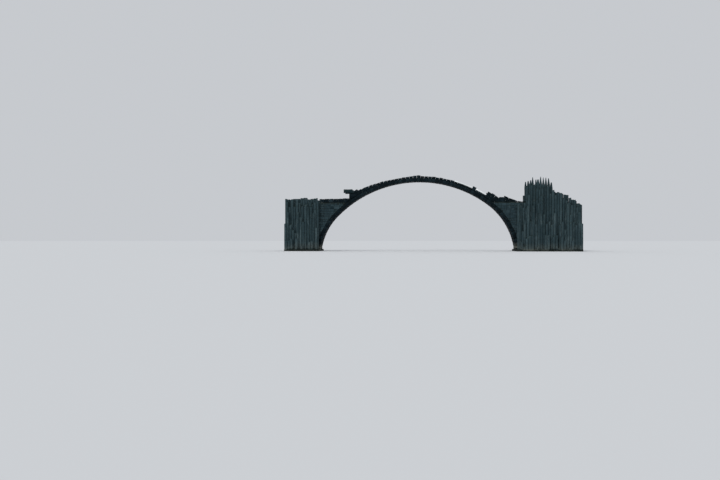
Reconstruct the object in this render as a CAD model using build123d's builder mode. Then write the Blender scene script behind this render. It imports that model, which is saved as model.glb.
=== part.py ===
"""A moon bridge: a thin round arch of dark stone between two abutments clad with basalt columns.

Millimetres, Z up. The origin lies at the foot of the abutments, midway between the two ends of
the bridge and midway between its faces. X runs along the bridge and the front is towards -Y.
"""

import os
from math import acos, atan2, ceil, cos, degrees, floor, radians, sin, sqrt

from build123d import *

# Arch: a flatter crown arc between two tighter side arcs, whose springline lies below the foot.
# The crown arc's centre stands off the middle of the span, so the left side arc is tighter than
# the side radius and the right one wider.
clear_span = 22910
arch_rise = 8950
side_radius = 7440
crown_offset = 220
springline_depth = 800
ring_depth = 400
bridge_width = 1900
ring_stone_length = 437
ring_face_relief = 24

# Deck and kerbs
landing_level = 5700
landing_thickness = 110
paving_thickness = 80
shortest_step = 90
kerb_width = 290
kerb_face_relief = 22
kerb_height_relief = 26
left_kerb_heights = (
    (0, 235),
    (0.3, 185),
    (0.45, 220),
    (0.55, 275),
    (0.6, 335),
    (0.7, 360),
    (0.8, 480),
    (0.85, 690),
)
right_kerb_heights = ((0, 235), (0.35, 225), (0.43, 260), (0.87, 330), (0.9, 760), (0.96, 890), (1, 850))
crown_kerb_stones = (-1, 0)
crown_kerb_extra = 80

# Two pale coping slabs on the front kerb, and upright stones between them. Each slab lies on the
# kerb stones from one share of the way down the right of the deck to another.
coping_shares = ((0.5, 0.7), (0.8, 0.9))
coping_bed_heights = ((175, 185), (220, 250))
coping_thickness = 160
coping_overhang = 35
upright_height = 470

# Blocks that end the kerbs at the landings
left_block_stones = 3
left_low_block_level = 6210
left_block_foot = 5905
left_block_level = 6860
laid_column_width = 450
laid_column_overhang = 650
right_block_height = 590
right_block_length = 1000
right_block_fall = 20

# Edging stones on the landings: heights at shares of the way from the arch outward
left_edging_heights = ((0, 510), (1, 430))
right_edging_heights = ((0, 735), (0.2, 490), (0.35, 450), (0.45, 240), (0.6, 130), (1, 50))
edging_height_relief = 30
edging_length = 560
flag_length = 640
flag_seam = 150

# Abutments
footing_height = 220
footing_ledge = 40
left_columns_long = 14
right_columns_long = 25
end_columns = 3

# Basalt columns
column_width = 300
column_irregularity = 19
column_joint = 12
column_tilt = 13
left_top_level = 6290
low_front_columns = 4
low_front_level = 5680
tower_levels = (
    (0, 7450),
    (350, 7870),
    (2450, 7700),
    (3050, 7000),
    (4050, 6820),
    (5000, 6280),
    (5400, 5950),
    (5750, 5550),
    (6400, 5300),
)
exit_level = 5540
exit_drop = 90
row_shares = ((0.965, 1.0), (0.82, 0.985), (0.3, 0.86), (0.02, 0.24))
row_missing = (0, 0, 0.08, 0.3)
pinnacle_reach = (100, 3050)
pinnacle_share = 0.85
pinnacle_extra = 760
pinnacle_taper = 7

# Clearance between neighbouring stones
joint = 0.6

half_span = clear_span / 2
half_width = bridge_width / 2
crown_radius = ((half_span - side_radius) ** 2 + arch_rise**2 - side_radius**2) / (
    2 * (arch_rise - side_radius)
)
crown_centre_depth = crown_radius - arch_rise
crown_centre_z = -springline_depth - crown_centre_depth
core_level = landing_level - landing_thickness
walk_half_width = half_width - kerb_width - kerb_face_relief


def radius_beside(side):
    """The radius of the left (-1) or right (1) side arc, which carries on the crown arc without a bend."""
    reach = half_span - side * crown_offset
    return (crown_radius**2 - crown_centre_depth**2 - reach**2) / (2 * (crown_radius - reach))


def junction_angle(side):
    """The angle from the vertical at which the crown arc meets a side arc."""
    return degrees(atan2(half_span - side * crown_offset - radius_beside(side), crown_centre_depth))


def foot_angle(side, offset):
    """The angle from the vertical at which the arch, an offset outside the intrados, meets the footing."""
    return degrees(acos((footing_height + springline_depth) / (radius_beside(side) + offset)))


def foot_reach(side):
    """How far the foot of the intrados stands from the middle of the span."""
    return half_span - radius_beside(side) * (1 - sin(radians(foot_angle(side, 0))))


columns_difference = (left_columns_long - right_columns_long) * column_width
arch_x = (foot_reach(-1) - foot_reach(1) + columns_difference) / 2


def wobble(*seed):
    """A number from -1 to 1 that is always the same for the same seed of up to three numbers."""
    mixed = sin(sum(part * factor for part, factor in zip(seed, (12.9898, 78.233, 37.719)))) * 43758.5453
    return 2 * (mixed - floor(mixed)) - 1


def between(table, along):
    """The height at a distance along, read between the rows of a table."""
    if along <= table[0][0]:
        return table[0][1]
    for (near, low), (far, high) in zip(table, table[1:]):
        if along <= far:
            return low + (high - low) * (along - near) / (far - near)
    return table[-1][1]


def stone_block(outline, near_y, far_y):
    """A stone with this outline (x, z), from one Y to the other."""
    with BuildPart() as block:
        with BuildSketch(Plane.XZ.offset(-far_y)):
            with BuildLine():
                Polyline(*outline, close=True)
            make_face()
        extrude(amount=far_y - near_y)
    return block.part.solid()


def write_node(name, solids):
    """Writes one node, which holds one solid or several that don't touch."""
    node = Compound(label=name, children=solids) if len(solids) > 1 else solids[0]
    node.label = name
    export_step(node, f"parts/{name}.step")


# The ring's joints and outlines


def ring_joints():
    """The angle from the vertical of every joint, from the left foot of the ring to the right one."""
    crown_start = degrees(ring_stone_length / 2 / (crown_radius + ring_depth))
    angles = []
    for side in (-1, 1):
        side_start = junction_angle(side)
        crown_angle = side_start - crown_start
        side_angle = foot_angle(side, ring_depth) - side_start
        crown_count = round(radians(crown_angle) * (crown_radius + ring_depth) / ring_stone_length)
        side_count = round(radians(side_angle) * (radius_beside(side) + ring_depth) / ring_stone_length)
        angles += [side * (crown_start + crown_angle * n / crown_count) for n in range(crown_count)]
        angles += [side * (side_start + side_angle * n / side_count) for n in range(side_count + 1)]
    return sorted(angles)


joints = ring_joints()
stone_count = len(joints) - 1
keystone = len([angle for angle in joints if angle < 0]) - 1


def ring_point(angle, offset):
    """The point (x, z) of the arch at an angle from the vertical, an offset outside the intrados."""
    side = 1 if angle > 0 else -1
    if abs(angle) <= junction_angle(side):
        centre_x, centre_z, radius = crown_offset, crown_centre_z, crown_radius
    else:
        radius = radius_beside(side)
        centre_x, centre_z = side * (half_span - radius), -springline_depth
    reach = radius + offset
    return (arch_x + centre_x + reach * sin(radians(angle)), centre_z + reach * cos(radians(angle)))


def stone_end(stone, side, offset):
    """The corner of a ring stone on its left (-1) or right (1), an offset outside the intrados."""
    end = stone if side < 0 else stone + 1
    if end in (0, stone_count):
        return ring_point(side * foot_angle(side, offset), offset)
    half_gap = degrees(joint / 2 / (crown_radius + ring_depth))
    return ring_point(joints[end] - side * half_gap, offset)


def facet(stone, offset):
    """Both corners of a ring stone at an offset outside the intrados, from left to right."""
    return [stone_end(stone, -1, offset), stone_end(stone, 1, offset)]


def at_level(low_point, high_point, level):
    """The point at a level on the straight line between two points."""
    share = (level - low_point[1]) / (high_point[1] - low_point[1])
    return (low_point[0] + share * (high_point[0] - low_point[0]), level)


def back_of_ring(side, low, high):
    """The ring's back on one side, from one level up to another."""
    stones = range(keystone) if side < 0 else range(stone_count - 1, keystone, -1)
    points = [point for stone in stones for point in facet(stone, ring_depth)[:: -side]]
    line = [points[0]] if points[0][1] >= low else []
    for lower, upper in zip(points, points[1:]):
        if lower[1] < low < upper[1]:
            line.append(at_level(lower, upper, low))
        if upper[1] >= high:
            return line + [at_level(lower, upper, high)]
        if upper[1] >= low:
            line.append(upper)
    return line


def is_on_deck(stone):
    """Whether a ring stone's whole back stands above the landings."""
    return min(z for x, z in facet(stone, ring_depth)) >= landing_level


deck_stones = [stone for stone in range(stone_count) if is_on_deck(stone)]
deck_first, deck_last = deck_stones[0], deck_stones[-1]
crown_reach = len(deck_stones) // 5

# Ring stones


def ring_stone(stone):
    """One wedge of the ring across the full width, its faces standing out a little or less."""
    (left_in, right_in), (left_out, right_out) = facet(stone, 0), facet(stone, ring_depth)
    front = half_width + ring_face_relief * (wobble(stone, 1) + 1) / 2
    back = half_width + ring_face_relief * (wobble(stone, 2) + 1) / 2
    return stone_block([left_in, right_in, right_out, left_out], -front, back)


def ring_part(first, last):
    return [ring_stone(stone) for stone in range(first, last + 1)]


os.makedirs("parts", exist_ok=True)

write_node("left_leg_ring_stones", ring_part(0, deck_first - 1))
write_node("left_haunch_ring_stones", ring_part(deck_first, keystone - crown_reach - 1))
write_node("crown_ring_stones", ring_part(keystone - crown_reach, keystone + crown_reach))
write_node("right_haunch_ring_stones", ring_part(keystone + crown_reach + 1, deck_last))
write_node("right_leg_ring_stones", ring_part(deck_last + 1, stone_count - 1))

# Steps and paving on the ring


def step_bed(stone):
    """The part of a ring stone's back that stands above the landings, from left to right."""
    left, right = facet(stone, ring_depth)
    if left[1] < landing_level < right[1]:
        left = at_level(left, right, landing_level)
    if right[1] < landing_level < left[1]:
        right = at_level(right, left, landing_level)
    return left, right


def step(stone):
    """A level tread bedded on one ring stone's back."""
    left, right = step_bed(stone)
    top = max(left[1], right[1]) + paving_thickness
    return stone_block([left, right, (right[0], top), (left[0], top)], -walk_half_width, walk_half_width)


def has_step(stone):
    left, right = step_bed(stone)
    return max(left[1], right[1]) > landing_level and right[0] - left[0] > shortest_step


step_stones = [stone for stone in range(stone_count) if has_step(stone)]
write_node("left_steps", [step(stone) for stone in step_stones if stone < keystone - crown_reach])
write_node("crown_paving", [step(stone) for stone in step_stones if abs(stone - keystone) <= crown_reach])
write_node("right_steps", [step(stone) for stone in step_stones if stone > keystone + crown_reach])

# Kerb stones and the coping slabs


def kerb_faces(side, outer):
    """The near and far Y of the kerb on the front (-1) or the back (1), with its outer face at outer."""
    return sorted((side * outer, side * (half_width - kerb_width)))


def joint_at_level(stone, side, level):
    """The point at a level on the line of a ring stone's joint, carried on past the ring's back."""
    return at_level(stone_end(stone, side, 0), stone_end(stone, side, ring_depth), level)


def kerb_bed(stone):
    """What a kerb stone lies on: the ring's back, and the landing beyond it under the last one."""
    left, right = facet(stone, ring_depth)
    if right[1] < landing_level:
        return [left, at_level(right, left, landing_level), joint_at_level(stone, 1, landing_level)]
    return [left, right]


def kerb_stone(stone, side, left_height, right_height):
    """A kerb stone on one ring stone, as high as given at its two ends."""
    top_left = stone_end(stone, -1, ring_depth + left_height)
    top_right = stone_end(stone, 1, ring_depth + right_height)
    outer = half_width - kerb_face_relief * (wobble(stone, side, 4) + 1) / 2
    return stone_block(kerb_bed(stone) + [top_right, top_left], *kerb_faces(side, outer))


def rough_kerb_stone(stone, side):
    """A kerb stone with an uneven top, on its own height for this part of the bridge."""
    place = stone - keystone
    if side < 0 and coping_beds[0][-1][0] < stone < coping_beds[1][0][0]:
        height = upright_height
    elif place < 0:
        height = between(left_kerb_heights, place / (deck_first - keystone))
    else:
        height = between(right_kerb_heights, place / (kerb_last - keystone))
    if place in crown_kerb_stones:
        height += crown_kerb_extra
    height += kerb_height_relief * wobble(stone, side, 3)
    slant = kerb_height_relief * wobble(stone, side, 5)
    return kerb_stone(stone, side, height + slant / 2, height - slant / 2)


def kerb(side, first, last):
    """The kerb stones on one side, cut level where a coping slab lies on them."""
    bed_heights = {stone: heights for slab in coping_beds for stone, heights in slab}
    stones = []
    for stone in range(first, last + 1):
        if side < 0 and stone in bed_heights:
            stones.append(kerb_stone(stone, side, *bed_heights[stone]))
        else:
            stones.append(rough_kerb_stone(stone, side))
    return stones


def coping_bed(shares, heights):
    """The kerb stones under a coping slab, each with its heights at its left and right."""
    first, last = (keystone + round(share * (deck_last - keystone)) for share in shares)
    near, far = heights
    rise = (far - near) / (last - first + 1)
    return [(first + n, (near + n * rise, near + (n + 1) * rise)) for n in range(last - first + 1)]


def coping_slab(bed):
    """A long straight slab bedded on the kerb stones under it."""
    outline = []
    for stone, (left_height, right_height) in bed:
        outline.append(stone_end(stone, -1, ring_depth + left_height))
        outline.append(stone_end(stone, 1, ring_depth + right_height))
    (first, (near, _)), (last, (_, far)) = bed[0], bed[-1]
    outline.append(stone_end(last, 1, ring_depth + far + coping_thickness))
    outline.append(stone_end(first, -1, ring_depth + near + coping_thickness))
    return stone_block(outline, *kerb_faces(-1, half_width + coping_overhang))


kerb_first = deck_first + left_block_stones
kerb_last = deck_last + 1
coping_beds = [coping_bed(*values) for values in zip(coping_shares, coping_bed_heights)]
write_node("front_left_kerb", kerb(-1, kerb_first, keystone - 1))
write_node("front_right_kerb", kerb(-1, keystone, kerb_last))
write_node("back_left_kerb", kerb(1, kerb_first, keystone - 1))
write_node("back_right_kerb", kerb(1, keystone, kerb_last))
write_node("coping_slabs", [coping_slab(bed) for bed in coping_beds])

# End blocks on the left haunch, and basalt columns laid on them that jut out over the landing


def left_low_block(side):
    """A low level-topped block, bedded on the ring between the landing and the end block."""
    bed = back_of_ring(-1, landing_level, left_block_foot)
    bed[-1] = (bed[-1][0] - joint, bed[-1][1])
    outline = bed + [(bed[-1][0], left_low_block_level), (bed[0][0], left_low_block_level)]
    return stone_block(outline, *kerb_faces(side, half_width))


def left_end_block(side):
    """A level-topped block bedded on the lowest ring stones of the deck."""
    last = kerb_first - 1
    bed = back_of_ring(-1, left_block_foot, stone_end(last, 1, ring_depth)[1])
    outline = bed + [joint_at_level(last, 1, left_block_level), (bed[0][0], left_block_level)]
    return stone_block(outline, *kerb_faces(side, half_width))


def laid_column(side):
    """A hexagonal column lying on the end block, its end cut to the joint of the next kerb stone."""
    last = kerb_first - 1
    block_x = back_of_ring(-1, left_block_foot, left_block_level)[0][0]
    low = joint_at_level(last, 1, left_block_level)
    high = joint_at_level(last, 1, left_block_level + laid_column_width)
    centre_y = side * (half_width - kerb_width + laid_column_width / sqrt(3))
    centre_z = left_block_level + laid_column_width / 2
    start_x = block_x - laid_column_overhang
    start = Plane(origin=(start_x, centre_y, centre_z), x_dir=(0, 1, 0), z_dir=(1, 0, 0))
    cut = Plane(origin=(low[0], 0, low[1]), x_dir=(0, 1, 0), z_dir=(high[1] - low[1], 0, low[0] - high[0]))
    with BuildPart() as column:
        with BuildSketch(start):
            RegularPolygon(laid_column_width / 2, 6, major_radius=False)
        extrude(amount=low[0] - start_x + laid_column_width)
        split(bisect_by=cut, keep=Keep.BOTTOM)
    return column.part.solid()


end_blocks = [block(side) for side in (-1, 1) for block in (left_low_block, left_end_block)]
write_node("left_end_blocks", end_blocks)
write_node("laid_columns", [laid_column(side) for side in (-1, 1)])

# Plan of the basalt columns: a honeycomb with uneven corners that neighbours share.
# Corners and centres are counted in half columns along and in sixths of a row pair across.
hexagon = ((1, 1), (0, 2), (-1, 1), (-1, -1), (0, -2), (1, -1))
row_pitch = column_width * sqrt(3) / 2
first_row = ceil((half_width + ring_face_relief + column_irregularity) / row_pitch + 2 / 3 - 1 / 2)
rows = range(-first_row - len(row_shares), first_row + len(row_shares))


def columns_long(side):
    return left_columns_long if side < 0 else right_columns_long


def centre_key(row, place):
    return (2 * place + row % 2, 3 * row)


def plan_point(key, unevenness=0):
    """Where a point of the honeycomb lies: (distance outward from the ring's foot, Y)."""
    along = column_width * (key[0] / 2 - 1 / 4) + unevenness * wobble(*key, 7)
    y = row_pitch * (key[1] / 3 + 1 / 2) + unevenness * wobble(*key, 8)
    return along, y


def corner_keys(row, place):
    centre = centre_key(row, place)
    return [(centre[0] + step_along, centre[1] + step_across) for step_along, step_across in hexagon]


def in_place(side, point):
    """A plan point of the abutment on one side, in the bridge's own X and Y."""
    return (arch_x + side * (foot_reach(side) + point[0]), point[1])


# Abutment cores: rubble masonry that backs the ring from its foot up to the landing


def core_end(side):
    """The outer end of the core: the end columns stand beyond it."""
    return column_width * (columns_long(side) - end_columns - 3 / 4) - column_irregularity - joint


def core(side):
    end_x = in_place(side, (core_end(side), 0))[0]
    back = back_of_ring(side, footing_height, core_level)
    return stone_block(back + [(end_x, core_level), (end_x, footing_height)], -half_width, half_width)


def footing(side):
    """A low course with the outline of all its columns, which it carries."""
    edges = set()
    for row in rows:
        for place in range(columns_long(side)):
            corners = corner_keys(row, place)
            for start, end in zip(corners, corners[1:] + corners[:1]):
                if (end, start) in edges:
                    edges.remove((end, start))
                else:
                    edges.add((start, end))
    following = dict(edges)
    outline = [min(following)]
    while following[outline[-1]] != outline[0]:
        outline.append(following[outline[-1]])
    corners = [plan_point(key, column_irregularity) for key in outline]
    corners = [in_place(side, (max(along, -footing_ledge), y)) for along, y in corners]
    with BuildPart() as base:
        with BuildSketch():
            with BuildLine():
                Polyline(*corners, close=True)
            make_face()
        extrude(amount=footing_height)
    return base.part.solid()


def landing(side):
    """Flagstones in two rows on top of the core, reaching out over the first end columns."""
    bed = back_of_ring(side, core_level, landing_level)
    start_x = bed[0][0]
    end_x = in_place(side, (core_end(side) + column_width, 0))[0]
    count = round(abs(end_x - start_x) / flag_length)
    pitch = (end_x - start_x) / count
    flags = []
    for n in range(count):
        near_x = start_x + n * pitch + side * joint / 2
        far_x = start_x + (n + 1) * pitch - side * joint / 2
        near_edge = bed if n == 0 else [(near_x, core_level), (near_x, landing_level)]
        outline = near_edge + [(far_x, landing_level), (far_x, core_level)]
        seam = flag_seam * (1 if n % 2 else -1)
        flags.append(stone_block(outline, -half_width, seam - joint / 2))
        flags.append(stone_block(outline, seam + joint / 2, half_width))
    return flags


for name, side in (("left", -1), ("right", 1)):
    write_node(f"{name}_footing", [footing(side)])
    write_node(f"{name}_core", [core(side)])
    write_node(f"{name}_landing", landing(side))

# Blocks and edging on the landings

right_block_x = joint_at_level(kerb_last + 1, -1, landing_level)[0]
left_block_x = back_of_ring(-1, landing_level, left_block_foot)[0][0]


def right_parapet_block(side):
    """A block that ends the kerb on the landing, against the last kerb stone."""
    top = landing_level + right_block_height
    far_x = right_block_x + right_block_length
    outline = [joint_at_level(kerb_last + 1, -1, top), (right_block_x, landing_level)]
    outline += [(far_x, landing_level), (far_x, top - right_block_fall)]
    return stone_block(outline, *kerb_faces(side, half_width))


def edging(end, side, start_x, end_x, heights):
    """Edging stones along one side of the left (-1) or right (1) landing, with uneven tops."""
    count = round(abs(end_x - start_x) / edging_length)
    pitch = (end_x - start_x) / count
    stones = []
    for n in range(count):
        near_x = start_x + n * pitch + end * joint / 2
        far_x = start_x + (n + 1) * pitch - end * joint / 2
        uneven = edging_height_relief * wobble(n, side, 6 * end)
        near_top = landing_level + between(heights, n / count) + uneven
        far_top = landing_level + between(heights, (n + 1) / count) + uneven
        outline = [(near_x, landing_level), (far_x, landing_level), (far_x, far_top), (near_x, near_top)]
        stones.append(stone_block(outline, *kerb_faces(side, half_width)))
    return stones


left_edging = (left_block_x, in_place(-1, (0, 0))[0], left_edging_heights)
tower_x = in_place(1, (low_front_columns * column_width, 0))[0]
right_edging = (right_block_x + right_block_length, tower_x, right_edging_heights)
write_node("right_parapet_blocks", [right_parapet_block(side) for side in (-1, 1)])
write_node("left_landing_edging", edging(-1, -1, *left_edging) + edging(-1, 1, *left_edging))
write_node("right_landing_edging", edging(1, -1, *right_edging) + edging(1, 1, *right_edging))

# Basalt columns


def row_depth(row):
    """How many rows a column stands out from the core's face: negative for one at the core's end."""
    return row - first_row if row >= 0 else -row - 1 - first_row


def column_level(side, along):
    """The level that the columns next to the core reach."""
    if side < 0:
        return left_top_level
    if along < low_front_columns * column_width:
        return low_front_level
    return between(tower_levels, along - low_front_columns * column_width)


def is_pinnacle(side, row, place, along):
    tower_along = along - low_front_columns * column_width
    is_inner = row_depth(row) == 0 and pinnacle_reach[0] < tower_along < pinnacle_reach[1]
    return side > 0 and is_inner and (wobble(row, place, 15) + 1) / 2 < pinnacle_share


def column(side, row, place, top, pointed):
    """One column with a slanting or a pointed head, a joint's width smaller than its place."""
    key = centre_key(row, place)
    centre = in_place(side, plan_point(key))
    shrink = 1 - column_joint / column_width
    outline = []
    for corner in corner_keys(row, place):
        x, y = in_place(side, plan_point(corner, column_irregularity))
        outline.append((centre[0] + shrink * (x - centre[0]), centre[1] + shrink * (y - centre[1])))
    lean_x = sin(radians(column_tilt * wobble(*key, 12)))
    lean_y = sin(radians(column_tilt * wobble(*key, 13)))
    with BuildPart() as shaft:
        with BuildSketch(Plane.XY.offset(footing_height)):
            with BuildLine():
                Polyline(*outline, close=True)
            make_face()
        if pointed:
            extrude(amount=top - footing_height)
            head = shaft.faces().sort_by(Axis.Z)[-1]
            extrude(head, amount=pinnacle_extra * (1 + wobble(*key, 14) / 3), taper=pinnacle_taper)
        else:
            extrude(amount=top + column_width - footing_height)
            split(bisect_by=Plane(origin=(*centre, top), z_dir=(lean_x, lean_y, 1)), keep=Keep.BOTTOM)
    return shaft.part.solid()


def node_name(side, row, along, pointed):
    if row_depth(row) < 0:
        return "left_end_columns" if side < 0 else "right_end_columns"
    face = "front" if row < 0 else "back"
    depth = "inner" if row_depth(row) == 0 else "outer"
    if side < 0:
        return f"left_{face}_{depth}_columns"
    if along < low_front_columns * column_width:
        return f"right_{face}_low_columns"
    if pointed:
        return f"tower_{face}_pinnacles"
    return f"tower_{face}_{depth}_columns"


def cladding(side):
    """All columns of one abutment, by the name of the node that they belong to."""
    nodes = {}
    for row in rows:
        depth = row_depth(row)
        for place in range(columns_long(side)):
            along = plan_point(centre_key(row, place))[0]
            if along < column_width / 2 or (depth < 0 and along - column_width / 2 < core_end(side)):
                continue
            chance = (wobble(row + 40 * side, place, 9) + 1) / 2
            level = column_level(side, along)
            if depth < 0:
                top = exit_level - exit_drop * chance
            elif wobble(row + 40 * side, place, 10) < 2 * row_missing[depth] - 1:
                continue
            else:
                low, high = row_shares[depth]
                top = footing_height + (level - footing_height) * (low + (high - low) * chance)
            pointed = is_pinnacle(side, row, place, along)
            name = node_name(side, row, along, pointed)
            nodes.setdefault(name, []).append(column(side, row, place, top, pointed))
    return nodes


for side in (-1, 1):
    for name, columns in cladding(side).items():
        write_node(name, columns)
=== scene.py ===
from bisect import bisect
from math import floor, radians, sin

import bmesh
import bpy
from mathutils import Matrix, Vector, noise


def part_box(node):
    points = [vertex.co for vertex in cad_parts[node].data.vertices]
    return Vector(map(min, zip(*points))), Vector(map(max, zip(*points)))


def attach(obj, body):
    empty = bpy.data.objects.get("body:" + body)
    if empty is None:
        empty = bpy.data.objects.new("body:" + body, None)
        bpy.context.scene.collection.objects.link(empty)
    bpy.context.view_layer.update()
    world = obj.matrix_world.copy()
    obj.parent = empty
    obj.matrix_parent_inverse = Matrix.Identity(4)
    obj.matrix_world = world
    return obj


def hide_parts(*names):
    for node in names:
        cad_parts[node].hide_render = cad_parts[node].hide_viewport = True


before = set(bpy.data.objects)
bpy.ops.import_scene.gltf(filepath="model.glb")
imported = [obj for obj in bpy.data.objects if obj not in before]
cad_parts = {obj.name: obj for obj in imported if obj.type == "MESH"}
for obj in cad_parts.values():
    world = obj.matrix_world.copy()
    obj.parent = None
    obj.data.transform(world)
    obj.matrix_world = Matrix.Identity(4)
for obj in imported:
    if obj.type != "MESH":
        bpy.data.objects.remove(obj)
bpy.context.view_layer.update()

# Footings. A low course of basalt at the foot of each abutment, cut to the outline of the
# columns, cores and ring feet that it carries. It is stained pale and dark along its foot.
display_gamma = 2.2
lichen_grey = (104, 114, 106)
moss_green = (50, 58, 34)
bleached_grey = (94, 110, 113)
wet_stone = (24, 28, 24)
chalk_white = (134, 137, 127)
brown_shift = (1.3, 1.04, 0.84)
streak_shift = (0.45, 0.45, 0.45)
worn_edge_share = 0.5
blotch_weight, tint_weight, patch_weight, grain_weight = 0.52, 0.34, 0.16, 0.5
dark_up_to, middle_at, light_from = 0.56, 0.77, 0.97
rosettes_a_metre = 7.0
rosette_raggedness = 1.5
stain_unevenness = 0.9
hollow_depth = 0.07
grain_depth = 0.016
pits_a_metre = 55.0
pit_share = 0.25
shine = 0.07


def linear(*display):
    """A colour for a shader from its red, green and blue as displayed, 0 to 255."""
    return tuple((part / 255) ** display_gamma for part in display) + (1,)


def scaled(color, factors):
    """A colour with each of its parts made larger or smaller."""
    return [part * factor for part, factor in zip(color, factors)]


def add(tree, kind, inputs=(), **settings):
    """A new node with its settings, its inputs set to values or joined to other nodes' outputs."""
    made = tree.nodes.new(kind)
    for setting, value in settings.items():
        setattr(made, setting, value)
    for socket, value in dict(inputs).items():
        if isinstance(value, bpy.types.NodeSocket):
            tree.links.new(value, made.inputs[socket])
        else:
            made.inputs[socket].default_value = value
    return made


def spread(tree, value, low, high):
    """0 at low and 1 at high, smooth in between and level outside; low may be the larger one."""
    inputs = {"Value": value, "From Min": low, "From Max": high}
    made = add(tree, "ShaderNodeMapRange", inputs, interpolation_type="SMOOTHSTEP")
    return made.outputs["Result"]


def between(tree, value, low, high, at_low, at_high):
    """From one number at low straight to another at high, and level outside."""
    inputs = {"Value": value, "From Min": low, "From Max": high, "To Min": at_low, "To Max": at_high}
    return add(tree, "ShaderNodeMapRange", inputs).outputs["Result"]


def times(tree, first, second, more=None):
    """The product of two numbers, or with a third one added to it."""
    if more is None:
        made = add(tree, "ShaderNodeMath", {0: first, 1: second}, operation="MULTIPLY")
    else:
        made = add(tree, "ShaderNodeMath", {0: first, 1: second, 2: more}, operation="MULTIPLY_ADD")
    return made.outputs[0]


def clouds(tree, place, scale, detail, roughness=0.5):
    """Soft spots about 1 / scale metres apart, from 0 to 1."""
    inputs = {"Vector": place, "Scale": scale, "Detail": detail, "Roughness": roughness}
    return add(tree, "ShaderNodeTexNoise", inputs).outputs["Fac"]


def drawn_out(tree, place, across, along, shift=0.0):
    """Places for a pattern that runs down a face: 1 / across metres wide, 1 / along long."""
    inputs = {"Vector": place, "Location": (shift, 0, 0), "Scale": (across, across, along)}
    return add(tree, "ShaderNodeMapping", inputs).outputs["Vector"]


def over(tree, share, below, above):
    """One colour laid over another by a share from 0 to 1. Inputs 6 and 7 of a Mix node are its
    two colours, and output 2 is their mix."""
    mix = add(tree, "ShaderNodeMix", {0: share, 6: below, 7: above}, data_type="RGBA")
    return mix.outputs[2]


def bare_stone(tree, tone, dark, middle, light):
    """The stone's own colour, from dark to light by its tone."""
    ramp = add(tree, "ShaderNodeValToRGB", {"Fac": tone})
    lowest, highest = ramp.color_ramp.elements
    lowest.position, lowest.color = dark_up_to, linear(*dark)
    highest.position, highest.color = light_from, linear(*light)
    ramp.color_ramp.elements.new(middle_at).color = linear(*middle)
    return ramp.outputs["Color"]


def overgrown(tree, color, place, normal, blotches, spots, lichen, moss):
    """Ragged rosettes of lichen in colonies, and cushions of moss on what faces up."""
    cells = add(tree, "ShaderNodeTexVoronoi", {"Vector": place, "Scale": rosettes_a_metre})
    ragged = times(tree, spots, rosette_raggedness, cells.outputs["Distance"])
    colonies = clouds(tree, place, scale=1.3, detail=4, roughness=0.6)
    colonies = spread(tree, colonies, low=0.5, high=0.62)
    rosettes = times(tree, spread(tree, ragged, low=1.04, high=0.84), colonies)
    color = over(tree, times(tree, rosettes, lichen), color, linear(*lichen_grey))
    up = add(tree, "ShaderNodeSeparateXYZ", {0: normal}).outputs["Z"]
    thickest = spread(tree, blotches, low=0.4, high=0.58)
    cushions = times(tree, spread(tree, up, low=0.3, high=0.85), thickest)
    return over(tree, times(tree, cushions, moss), color, linear(*moss_green))


def bleached(tree, color, place, height, strength):
    """Pale runs down the faces, between the foot and about five metres up."""
    runs = drawn_out(tree, place, across=3.2, along=0.4, shift=7.3)
    runs = clouds(tree, runs, scale=1, detail=6, roughness=0.65)
    runs = spread(tree, runs, low=0.51, high=0.64)
    fading = spread(tree, height, low=5.4, high=3.6)
    reach = times(tree, spread(tree, height, low=0.3, high=1.2), fading)
    share = times(tree, times(tree, runs, reach), strength)
    return over(tree, share, color, linear(*bleached_grey))


def stained_foot(tree, color, height, patches, spots, strength):
    """Dark and wet at the foot, with a chalky line above it, both with an uneven edge."""
    level = times(tree, patches, stain_unevenness, height)
    wet = between(tree, level, low=0.55, high=0.85, at_low=0.6, at_high=0.0)
    color = over(tree, wet, color, linear(*wet_stone))
    fading = between(tree, level, low=0.8, high=1.5, at_low=1.0, at_high=0.0)
    chalk = times(tree, spread(tree, level, low=0.6, high=0.8), fading)
    chalk = times(tree, chalk, spread(tree, spots, low=0.3, high=0.7))
    return over(tree, times(tree, chalk, strength), color, linear(*chalk_white))


def rough_surface(tree, place, blotches, grains, grain):
    """The bump of a stone: soft hollows, and on them pits and grains."""
    hollows = {"Height": blotches, "Strength": 0.8, "Distance": hollow_depth * grain}
    hollows = add(tree, "ShaderNodeBump", hollows).outputs[0]
    pits = add(tree, "ShaderNodeTexVoronoi", {"Vector": place, "Scale": pits_a_metre})
    pits = spread(tree, pits.outputs["Distance"], low=0.1, high=0.4)
    fine = times(tree, pits, pit_share, grains)
    fine = {"Height": fine, "Strength": 0.7, "Distance": grain_depth * grain, "Normal": hollows}
    return add(tree, "ShaderNodeBump", fine).outputs[0]


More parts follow.
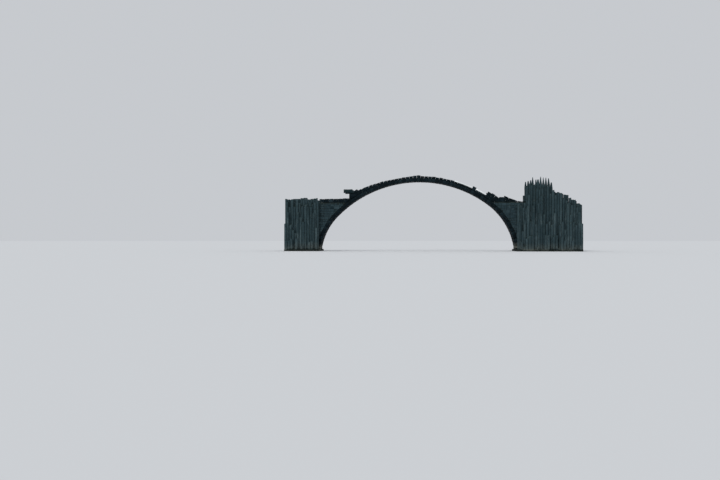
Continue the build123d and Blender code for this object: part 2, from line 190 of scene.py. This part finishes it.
def stone_finish(
    name, dark, middle, light, moss=0.5, lichen=0.3, streaks=0.4, rust=0.45, grain=1.0,
    foot_stain=0.0, bleach=0.0
):
    """Weathered stone: each stone its own tone, with blotches, worn edges, streaks and growth."""
    finish = bpy.data.materials.new(name)
    finish.use_nodes = True
    tree = finish.node_tree
    shader = tree.nodes["Principled BSDF"]
    place = add(tree, "ShaderNodeTexCoord").outputs["Object"]
    height = add(tree, "ShaderNodeSeparateXYZ", {0: place}).outputs["Z"]
    surface = add(tree, "ShaderNodeNewGeometry").outputs
    patches = clouds(tree, place, scale=0.8, detail=3)
    blotches = clouds(tree, place, scale=5.5, detail=6, roughness=0.65)
    spots = clouds(tree, place, scale=11, detail=8, roughness=0.75)
    grains = clouds(tree, place, scale=34, detail=5, roughness=0.7)
    tint = add(tree, "ShaderNodeAttribute", attribute_name="tint").outputs["Fac"]

    tone = times(tree, blotches, blotch_weight)
    for pattern, weight in ((tint, tint_weight), (patches, patch_weight), (grains, grain_weight)):
        tone = times(tree, pattern, weight, tone)
    color = bare_stone(tree, tone, dark, middle, light)
    brown = clouds(tree, place, scale=2.3, detail=5, roughness=0.6)
    brown = times(tree, spread(tree, brown, low=0.48, high=0.68), rust)
    color = over(tree, brown, color, linear(*scaled(middle, brown_shift)))
    worn = spread(tree, surface["Pointiness"], low=0.51, high=0.6)
    color = over(tree, times(tree, worn, worn_edge_share), color, linear(*light))
    runs = clouds(tree, drawn_out(tree, place, across=5.0, along=0.35), scale=1, detail=4)
    runs = times(tree, spread(tree, runs, low=0.5, high=0.72), streaks)
    color = over(tree, runs, color, linear(*scaled(dark, streak_shift)))
    color = overgrown(tree, color, place, surface["Normal"], blotches, spots, lichen, moss)
    if bleach:
        color = bleached(tree, color, place, height, bleach)
    if foot_stain:
        color = stained_foot(tree, color, height, patches, spots, foot_stain)

    matt = between(tree, blotches, low=0.3, high=0.7, at_low=0.72, at_high=0.95)
    bump = rough_surface(tree, place, blotches, grains, grain)
    tree.links.new(color, shader.inputs["Base Color"])
    tree.links.new(matt, shader.inputs["Roughness"])
    tree.links.new(bump, shader.inputs["Normal"])
    shader.inputs["Specular IOR Level"].default_value = shine
    return finish


footing_finish = stone_finish(
    "footing_basalt", (26, 33, 34), (42, 50, 50), (66, 74, 71),
    moss=0.6, lichen=0.4, foot_stain=0.8
)
for side in ("left", "right"):
    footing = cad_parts[f"{side}_footing"]
    footing.data.materials.clear()
    footing.data.materials.append(footing_finish)

# Basalt columns. Natural six-sided columns stood on end round each abutment, the outer rows
# broken off lower. Each is a stack of drums with open cross joints, worn at its edges.
same_place = 0.00002
same_plane = radians(0.5)
mixing_factors = (12.9898, 78.233, 37.719)
mixing_size = 43758.5453
column_seeds = 40
column_rounding = 0.018
foot_margin = 0.001
first_drum = 0.15
first_drum_variation = 0.5
last_drum = 0.22
drum_shortest = 0.4
drum_variation = 0.65
cross_joint_half = 0.012
cross_joint_depth = 0.13
cross_joint_slope = 0.16
cross_joint_tolerance = 0.00001
least_wear = 0.02
drum_wear = 0.03
spot_wear = 0.025
spots_a_metre = 3.1
drum_shift = 0.008
broken_top = 0.12
top_wear = 0.035
top_spots_a_metre = 7.3
column_tone_share = 0.75
drum_tone_share = 0.25


def chance(*seed):
    """A number from 0 to 1, always the same for a seed of up to three numbers, of which the last
    one mostly just tells one draw from another."""
    mixed = sin(sum(part * factor for part, factor in zip(seed, mixing_factors))) * mixing_size
    return mixed - floor(mixed)


def swing(size, *seed):
    """A number from half of a size below zero to half of it above, by the same kind of seed."""
    return size * chance(*seed) - size / 2


def whole_faces(node):
    """The shape of a CAD node with its loose triangles joined to whole flat faces."""
    shape = bmesh.new()
    shape.from_mesh(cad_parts[node].data)
    bmesh.ops.remove_doubles(shape, verts=shape.verts, dist=same_place)
    bmesh.ops.dissolve_limit(shape, angle_limit=same_plane, verts=shape.verts, edges=shape.edges)
    return shape


def first_corner(stone):
    """Where a stone starts, rounded, to sort stones by."""
    return [round(part, 4) for part in min(tuple(corner.co) for corner in stone.verts)]


def stones_of(node):
    """The separate stones of a CAD node, each a shape of its own, in the order of their places."""
    shape = whole_faces(node)
    shape.verts.index_update()
    waiting = set(shape.verts)
    stones = []
    while waiting:
        reached = [waiting.pop()]
        for corner in reached:
            for edge in corner.link_edges:
                neighbour = edge.other_vert(corner)
                if neighbour in waiting:
                    waiting.remove(neighbour)
                    reached.append(neighbour)
        kept = {corner.index for corner in reached}
        stone = shape.copy()
        others = [corner for corner in stone.verts if corner.index not in kept]
        bmesh.ops.delete(stone, geom=others, context="VERTS")
        stones.append(stone)
    shape.free()
    return sorted(stones, key=first_corner)


def lay(piece, stone, tint, smooth=False):
    """Adds a finished stone to a piece, with its tone: one number, or one for each face."""
    tones = [tint(face) for face in stone.faces] if callable(tint) else [tint] * len(stone.faces)
    laid = len(piece.faces)
    mesh = bpy.data.meshes.new("stone")
    stone.to_mesh(mesh)
    stone.free()
    piece.from_mesh(mesh)
    bpy.data.meshes.remove(mesh)
    layer = piece.faces.layers.float.get("tint") or piece.faces.layers.float.new("tint")
    piece.faces.ensure_lookup_table()
    for face, tone in zip(piece.faces[laid:], tones):
        face[layer] = tone
        face.smooth = smooth


def made_piece(piece, name, finish):
    """A mesh object of a finished shape, with its finish."""
    mesh = bpy.data.meshes.new(name)
    piece.to_mesh(mesh)
    piece.free()
    mesh.materials.append(finish)
    made = bpy.data.objects.new(name, mesh)
    bpy.context.scene.collection.objects.link(made)
    return made


def round_edges(shape, edges, radius, segments=1):
    """Bevels the named edges of a shape."""
    bmesh.ops.bevel(
        shape, geom=edges, offset=radius, segments=segments, profile=0.5, affect="EDGES", material=-1
    )


def all_of(shape):
    """Every corner, edge and face of a shape."""
    return shape.verts[:] + shape.edges[:] + shape.faces[:]


def level_out(corner, axis):
    """The level way from a column's axis out to one of its corners."""
    return Vector((corner.co.x - axis.x, corner.co.y - axis.y, 0))


def wear_drums(column, axis, levels, top, seed):
    """Narrows each drum unevenly, shifts it a little, and breaks off the column's top."""
    for corner in column.verts:
        drum = bisect(levels, corner.co.z)
        uneven = spot_wear * (noise.noise(corner.co * spots_a_metre) + 1)
        corner.co -= level_out(corner, axis) * (least_wear + drum_wear * chance(seed, drum, 3) + uneven)
        corner.co += Vector((swing(1, seed, drum, 4), swing(1, seed, drum, 5), 0)) * drum_shift
        if corner.co.z > top - broken_top:
            corner.co.z -= top_wear * (noise.noise(corner.co * top_spots_a_metre) + 1)


def cut_into_drums(column, seed):
    """Rounds a column's edges, opens its cross joints and wears it; returns the joints' levels."""
    foot = min(corner.co.z for corner in column.verts)
    top = max(corner.co.z for corner in column.verts)
    feet = [corner.co for corner in column.verts if corner.co.z < foot + foot_margin]
    axis = sum(feet, Vector()) / len(feet)
    above = [
        edge for edge in column.edges
        if max(corner.co.z for corner in edge.verts) > foot + foot_margin
    ]
    round_edges(column, above, column_rounding)
    levels = []
    level = foot + first_drum + first_drum_variation * chance(seed, 1)
    while level < top - last_drum:
        levels.append(level)
        slopes = swing(cross_joint_slope, seed, level), swing(cross_joint_slope, level, seed)
        for rise in (-cross_joint_half, cross_joint_half, 0):
            cut = bmesh.ops.bisect_plane(
                column, geom=all_of(column), dist=cross_joint_tolerance,
                plane_co=Vector((axis.x, axis.y, level + rise)), plane_no=Vector((*slopes, 1))
            )
        for corner in cut["geom_cut"]:
            if isinstance(corner, bmesh.types.BMVert):
                corner.co -= level_out(corner, axis) * cross_joint_depth
        level += drum_shortest + drum_variation * chance(seed, level, 2)
    wear_drums(column, axis, levels, top, seed)
    return levels


def drum_tone(face, levels, tone, seed):
    """The tone of the drum that a face belongs to: mostly its column's, and a little its own."""
    own = chance(seed, bisect(levels, face.calc_center_median().z), 8)
    return column_tone_share * tone + drum_tone_share * own


column_finish = stone_finish(
    "column_basalt", (25, 39, 43), (38, 53, 58), (62, 77, 81),
    moss=0.4, lichen=0.5, streaks=0.35, rust=0.3, foot_stain=0.3, bleach=0.4
)
column_nodes = sorted(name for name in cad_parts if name.endswith(("_columns", "_pinnacles")))
column_nodes.remove("laid_columns")
for number, node in enumerate(column_nodes):
    piece = bmesh.new()
    for count, column in enumerate(stones_of(node)):
        seed = column_seeds * number + count
        levels = cut_into_drums(column, seed)
        tone = chance(seed, 7)
        lay(piece, column, lambda face: drum_tone(face, levels, tone, seed))
    columns = made_piece(piece, f"{node}_drums", column_finish)
    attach(columns, "root")
    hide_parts(node)

# Ring stones. The arch is one ring of rough wedges, three to five across its width, bedded in
# dark lime mortar that is set back from their faces.
ring_seeds = 100
seeds_across = 7
ring_joint = 0.011
ring_rounding = 0.025
ring_roughness = 0.014
stones_across_ring = (3, 4, 5)
mortar_depth = 0.036
mortar_overlap = 0.012
mortar_tone = 0.5
corner_reach = 1.6
noise_span = 30
hollows_a_metre = 4.5
humps_a_metre = 11
hump_share = 0.5
mostly_inward = 0.55
share_variation = 0.5


def rough_block(block, joint_gap, rounding, roughness, seed, cuts=1):
    """Shrinks a block by its joints, rounds it off and makes its faces uneven."""
    block.normal_update()
    for corner in block.verts:
        corner.co -= corner.normal * joint_gap * corner_reach
    round_edges(block, block.edges[:], rounding)
    bmesh.ops.subdivide_edges(block, edges=block.edges[:], cuts=cuts, use_grid_fill=True)
    block.normal_update()
    shift = Vector((chance(seed, 1), chance(seed, 2), chance(seed, 3))) * noise_span
    for corner in block.verts:
        hollow = noise.noise(corner.co * hollows_a_metre + shift)
        uneven = hollow + hump_share * noise.noise(corner.co * humps_a_metre + shift)
        corner.co += corner.normal * (uneven - mostly_inward) * roughness


def split_across(block, count, seed):
    """Copies of a block that runs along Y, each cut down to its uneven share of the width."""
    near_y = min(corner.co.y for corner in block.verts)
    far_y = max(corner.co.y for corner in block.verts)
    inner = [(n + swing(share_variation, seed, n)) / count for n in range(1, count)]
    joints = [near_y + share * (far_y - near_y) for share in [0] + inner + [1]]
    stones = []
    for start, end in zip(joints, joints[1:]):
        stone = block.copy()
        for corner in stone.verts:
            corner.co.y = start if corner.co.y < 0 else end
        stones.append(stone)
    return stones


def set_back(block, arch_centre, depth, overlap):
    """Turns a wedge into its mortar: set back from the faces, and carried over the joints."""
    middle = sum((corner.co for corner in block.verts), Vector()) / len(block.verts)
    back = max(block.faces, key=lambda face: face.normal.dot((middle - arch_centre).normalized()))
    outward = back.normal.copy()
    along = outward.cross(Vector((0, 1, 0)))
    for corner in block.verts:
        offset = corner.co - middle
        corner.co -= outward * depth * (1 if offset.dot(outward) > 0 else -1)
        corner.co += along * overlap * (1 if offset.dot(along) > 0 else -1)
        corner.co.y -= depth * (1 if offset.y > 0 else -1)


# The ring stones' near-black colours are painted shade: the arch stands in shade, so its basalt is made
# far darker than the columns'.
shaded_ring_finish = stone_finish(
    "ring_stone", (5, 12, 16), (11, 21, 27), (32, 44, 49),
    moss=0.2, lichen=0.3, streaks=0.35, rust=0.15, foot_stain=0.8
)
mortar_finish = stone_finish(
    "dark_mortar", (10, 15, 18), (17, 23, 26), (30, 36, 38),
    moss=0.15, lichen=0.05, streaks=0.3, foot_stain=0.4
)
crown_low, crown_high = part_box("crown_ring_stones")
arch_centre = Vector(((crown_low.x + crown_high.x) / 2, 0, 0))
mortar = bmesh.new()
for number, part in enumerate(("left_leg", "left_haunch", "crown", "right_haunch", "right_leg")):
    piece = bmesh.new()
    for count, wedge in enumerate(stones_of(f"{part}_ring_stones")):
        seed = ring_seeds * number + count
        stones = split_across(wedge, stones_across_ring[seed % 3], seed)
        for place, stone in enumerate(stones):
            rough_block(stone, ring_joint, ring_rounding, ring_roughness, seed + place / seeds_across)
            lay(piece, stone, chance(seed, place, 9), smooth=True)
        wedge.normal_update()
        set_back(wedge, arch_centre, mortar_depth, mortar_overlap)
        lay(mortar, wedge, mortar_tone)
    ring = made_piece(piece, f"{part}_ring", shaded_ring_finish)
    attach(ring, "root")
    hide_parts(f"{part}_ring_stones")
ring_mortar = made_piece(mortar, "ring_mortar", mortar_finish)
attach(ring_mortar, "root")

# Cores and their rubble facing. Behind the ring each abutment is rubble in mortar, faced with
# rough stones in uneven courses, whose backs lie 20 mm inside the core. Only the part between
# the ring and the columns is seen.
rubble_seeds = 3
course_height = 0.26
course_least, course_variation = 0.75, 0.6
course_tilt = 0.05
course_margin = 0.02
first_rubble, first_rubble_variation = 0.2, 0.3
rubble_shortest, rubble_variation = 0.24, 0.42
rubble_lean = 0.5
rubble_cut_tolerance = 0.0001
facing_share = 0.9
thinnest_rubble = 0.035
rubble_joint = 0.013
smallest_rubble_share = 0.2
rubble_back_y = 0.93
rubble_depth, rubble_depth_variation = 0.03, 0.022
rubble_rounding = 0.02
rubble_unevenness = 0.005
rubble_spots_a_metre = 7


def cut_courses(wall, low, high, seed):
    """Cuts a wall into uneven, slightly tilted courses; returns the level of each one's top."""
    levels = []
    level = low.z
    while level < high.z:
        level += course_height * (course_least + course_variation * chance(seed, level))
        levels.append(level)
        bmesh.ops.bisect_plane(
            wall, geom=all_of(wall), dist=rubble_cut_tolerance,
            plane_co=Vector(((low.x + high.x) / 2, 0, level)),
            plane_no=Vector((swing(course_tilt, level, seed), 0, 1))
        )
    return levels


def rubble_facing(node, face_side, seed):
    """One face of a core, cut into rough courses and each course into stones."""
    wall = whole_faces(node)
    others = [face for face in wall.faces if face.normal.y * face_side < facing_share]
    bmesh.ops.delete(wall, geom=others, context="FACES")
    low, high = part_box(node)
    tops = cut_courses(wall, low, high, seed)
    for number, (bottom, top) in enumerate(zip([low.z] + tops, tops)):
        x = low.x + first_rubble + first_rubble_variation * chance(seed, number)
        while x < high.x:
            course = [
                face for face in wall.faces
                if bottom - course_margin < face.calc_center_median().z < top + course_margin
            ]
            edges = dict.fromkeys(edge for face in course for edge in face.edges)
            corners = dict.fromkeys(corner for face in course for corner in face.verts)
            bmesh.ops.bisect_plane(
                wall, geom=[*corners, *edges, *course], dist=rubble_cut_tolerance,
                plane_co=Vector((x, 0, (bottom + top) / 2)),
                plane_no=Vector((1, 0, swing(rubble_lean, number, x)))
            )
            x += rubble_shortest + rubble_variation * chance(seed, number, x)
    return wall


def raise_stones(wall, face_side, seed):
    """Makes a rough stone of every field of a cut wall, with its back sunk in the mortar."""
    piece = bmesh.new()
    for field in wall.faces:
        centre = field.calc_center_median()
        girth = sum(edge.calc_length() for edge in field.edges)
        if field.calc_area() / girth < thinnest_rubble:
            continue
        stone = bmesh.new()
        corners = []
        for loop in field.loops:
            offset = loop.vert.co - centre
            corner = centre + offset * max(smallest_rubble_share, 1 - rubble_joint / offset.length)
            corner.y = face_side * rubble_back_y
            corners.append(stone.verts.new(corner))
        back = stone.faces.new(corners)
        raised = bmesh.ops.extrude_face_region(stone, geom=[back])["geom"]
        front = next(part for part in raised if isinstance(part, bmesh.types.BMFace))
        depth = rubble_depth + rubble_depth_variation * chance(seed, centre.z, centre.x)
        bmesh.ops.translate(stone, verts=front.verts[:], vec=Vector((0, face_side * depth, 0)))
        round_edges(stone, front.edges[:], rubble_rounding)
        for corner in stone.verts:
            corner.co.y += rubble_unevenness * noise.noise(corner.co * rubble_spots_a_metre)
        bmesh.ops.recalc_face_normals(stone, faces=stone.faces)
        lay(piece, stone, chance(seed, centre.x, centre.z))
    wall.free()
    return piece


core_finish = stone_finish(
    "rubble_mortar", (18, 25, 28), (28, 36, 38), (42, 50, 50), moss=0.2, lichen=0.1, streaks=0.3
)
facing_finish = stone_finish(
    "rubble_stone", (24, 37, 41), (35, 50, 56), (57, 72, 77),
    moss=0.2, lichen=0.45, streaks=0.3, rust=0.3
)
for number, side in enumerate(("left", "right")):
    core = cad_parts[f"{side}_core"]
    core.data.materials.clear()
    core.data.materials.append(core_finish)
    for face_side, face_name in ((-1, "front"), (1, "back")):
        wall = rubble_facing(f"{side}_core", face_side, rubble_seeds * number + face_side)
        rubble = raise_stones(wall, face_side, number)
        facing = made_piece(rubble, f"{side}_{face_name}_rubble", facing_finish)
        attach(facing, "root")

# Landing flags. Two rows of worn flagstones on each core, from the ring out to the end columns,
# with open joints and patches of moss.
paving_joint = 0.006
flag_seeds = 500
flag_rounding = 0.014
flag_roughness = 0.004
paving_finish = stone_finish(
    "paving_stone", (20, 28, 30), (33, 42, 44), (55, 65, 64),
    moss=0.45, lichen=0.4, streaks=0.0, grain=0.6
)
for number, side in enumerate(("left", "right")):
    piece = bmesh.new()
    for count, flag in enumerate(stones_of(f"{side}_landing")):
        seed = flag_seeds * number + count
        rough_block(flag, paving_joint, flag_rounding, flag_roughness, seed, cuts=2)
        lay(piece, flag, chance(number, count, 11), smooth=True)
    flags = made_piece(piece, f"{side}_flags", paving_finish)
    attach(flags, "root")
    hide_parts(f"{side}_landing")

# Steps and crown paving. One course of treads on each ring stone, two or three stones wide,
# steep at the haunches and almost level at the crown.
first_tread_seed, tread_seeds = 700, 60
tread_rounding = 0.016
tread_roughness = 0.005
stones_across_step = (2, 3)
for number, node in enumerate(("left_steps", "crown_paving", "right_steps")):
    piece = bmesh.new()
    for count, tread in enumerate(stones_of(node)):
        seed = first_tread_seed + tread_seeds * number + count
        for place, stone in enumerate(split_across(tread, stones_across_step[seed % 2], seed)):
            rough_block(stone, paving_joint, tread_rounding, tread_roughness, seed + place / seeds_across)
            lay(piece, stone, chance(seed, place, 12), smooth=True)
        tread.free()
    treads = made_piece(piece, f"{node}_treads", paving_finish)
    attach(treads, "root")
    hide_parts(node)

# Kerbs, parapet blocks and edging. Rough upright stones along both edges of the deck, unequal
# in height, set on the ring and on the landings without any rail.
kerb_nodes = (
    "front_left_kerb", "front_right_kerb", "back_left_kerb", "back_right_kerb",
    "left_end_blocks", "right_parapet_blocks", "left_landing_edging", "right_landing_edging"
)
first_kerb_seed, kerb_seeds = 900, 60
kerb_joint = 0.006
kerb_rounding = 0.03
kerb_roughness = 0.02
# The near-black colours of these stones are painted shade, like the ring's: the arch and its kerbs stand
# in shade.
shaded_kerb_finish = stone_finish(
    "kerb_stone", (7, 15, 19), (16, 28, 34), (44, 56, 61),
    moss=0.35, lichen=0.45, streaks=0.3, rust=0.2
)
for number, node in enumerate(kerb_nodes):
    piece = bmesh.new()
    for count, block in enumerate(stones_of(node)):
        seed = first_kerb_seed + kerb_seeds * number + count
        rough_block(block, kerb_joint, kerb_rounding, kerb_roughness, seed, cuts=2)
        lay(piece, block, chance(seed, 13), smooth=True)
    kerb = made_piece(piece, f"{node}_stones", shaded_kerb_finish)
    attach(kerb, "root")
    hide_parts(node)

# Coping slabs. Two long slabs on the front kerb, right of the crown, worn smooth; their near-white
# colour is a painted highlight, the sky light that their smooth tops catch. They are bedded a little
# lower than in the CAD part, because the worn kerb under them is lower.
bedding = 0.02
first_slab_seed = 1400
slab_joint = 0.002
slab_rounding = 0.04
slab_roughness = 0.012
slab_tones = (0.6, 0.8)
# Near-white colours: a painted highlight of the sky light on the slabs' tops.
highlit_slab_finish = stone_finish(
    "pale_slab", (204, 210, 211), (229, 234, 234), (242, 245, 244),
    moss=0.12, lichen=0.15, streaks=0.08, rust=0.05, grain=0.5
)
piece = bmesh.new()
for count, slab in enumerate(stones_of("coping_slabs")):
    rough_block(slab, slab_joint, slab_rounding, slab_roughness, first_slab_seed + count, cuts=3)
    bmesh.ops.translate(slab, verts=slab.verts, vec=(0, 0, -bedding))
    lay(piece, slab, slab_tones[count], smooth=True)
slabs = made_piece(piece, "coping_painted_highlight", highlit_slab_finish)
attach(slabs, "root")
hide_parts("coping_slabs")

# Laid columns. A short basalt column lies on each left end block and juts out over the landing,
# rounded and broken by weather everywhere but underneath. They are bedded like the slabs.
laid_rounding = 0.045
laid_wear = 0.035
laid_tones = (0.3, 0.6)
underneath = -0.5
breaks_a_metre = 1.7
chips_a_metre = 4.3
chip_share = 0.6
mostly_broken_off = 0.7
piece = bmesh.new()
for count, column in enumerate(stones_of("laid_columns")):
    round_edges(column, column.edges[:], laid_rounding, segments=2)
    bmesh.ops.triangulate(column, faces=[face for face in column.faces if len(face.verts) > 4])
    bmesh.ops.subdivide_edges(column, edges=column.edges[:], cuts=3, use_grid_fill=True)
    column.normal_update()
    for corner in column.verts:
        chipped = chip_share * noise.noise(corner.co * chips_a_metre)
        broken = noise.noise(corner.co * breaks_a_metre) + chipped - mostly_broken_off
        if corner.normal.z > underneath:
            corner.co += corner.normal * laid_wear * broken
    bmesh.ops.translate(column, verts=column.verts, vec=(0, 0, -bedding))
    lay(piece, column, laid_tones[count], smooth=True)
laid = made_piece(piece, "laid_basalt", column_finish)
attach(laid, "root")
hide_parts("laid_columns")

# Floor, light and camera: a plain pale floor under an even sky, and a soft lamp high on the left.
# The camera stands level, far in front of the crown; its lens and distance are assumed.
floor_radius = 900
floor_color = (0.6, 0.61, 0.62, 1)
sky_light = (0.75, 0.77, 0.8, 1)
sky_seen = (0.57, 0.59, 0.62, 1)
lamp_turn = Matrix.Rotation(radians(-28), 4, "Z")
lamp_lean = Matrix.Rotation(radians(48), 4, "X")
camera_place = Matrix.Translation((-1.65, -82.9, 1.3))
camera_pan = Matrix.Rotation(0.081, 4, "Z")
camera_level = Matrix.Rotation(radians(90), 4, "X")

floor_shape = bmesh.new()
bmesh.ops.create_circle(floor_shape, cap_ends=True, segments=64, radius=floor_radius)
floor_finish = bpy.data.materials.new("pale_floor")
floor_finish.use_nodes = True
floor_shader = floor_finish.node_tree.nodes["Principled BSDF"]
floor_shader.inputs["Base Color"].default_value = floor_color
floor_shader.inputs["Roughness"].default_value = 0.9
floor_shader.inputs["Specular IOR Level"].default_value = 0.0
floor_object = made_piece(floor_shape, "floor", floor_finish)

world = bpy.data.worlds.new("even_sky")
world.use_nodes = True
bpy.context.scene.world = world
sky = world.node_tree.nodes["Background"]
seen = add(world.node_tree, "ShaderNodeLightPath").outputs["Is Camera Ray"]
shown = over(world.node_tree, seen, sky_light, sky_seen)
world.node_tree.links.new(shown, sky.inputs["Color"])
sky.inputs["Strength"].default_value = 1.0

lamp_data = bpy.data.lights.new("soft_sun", "SUN")
lamp_data.energy = 1.2
lamp_data.angle = radians(12)
lamp = bpy.data.objects.new("soft_sun", lamp_data)
lamp.matrix_world = lamp_turn @ lamp_lean
bpy.context.scene.collection.objects.link(lamp)

camera_data = bpy.data.cameras.new("camera")
camera_data.lens = 35
camera_data.sensor_width = 36
camera_data.clip_end = 3000
camera = bpy.data.objects.new("camera", camera_data)
camera.matrix_world = camera_place @ camera_pan @ camera_level
bpy.context.scene.collection.objects.link(camera)
bpy.context.scene.camera = camera
bpy.context.scene.view_settings.view_transform = "Standard"
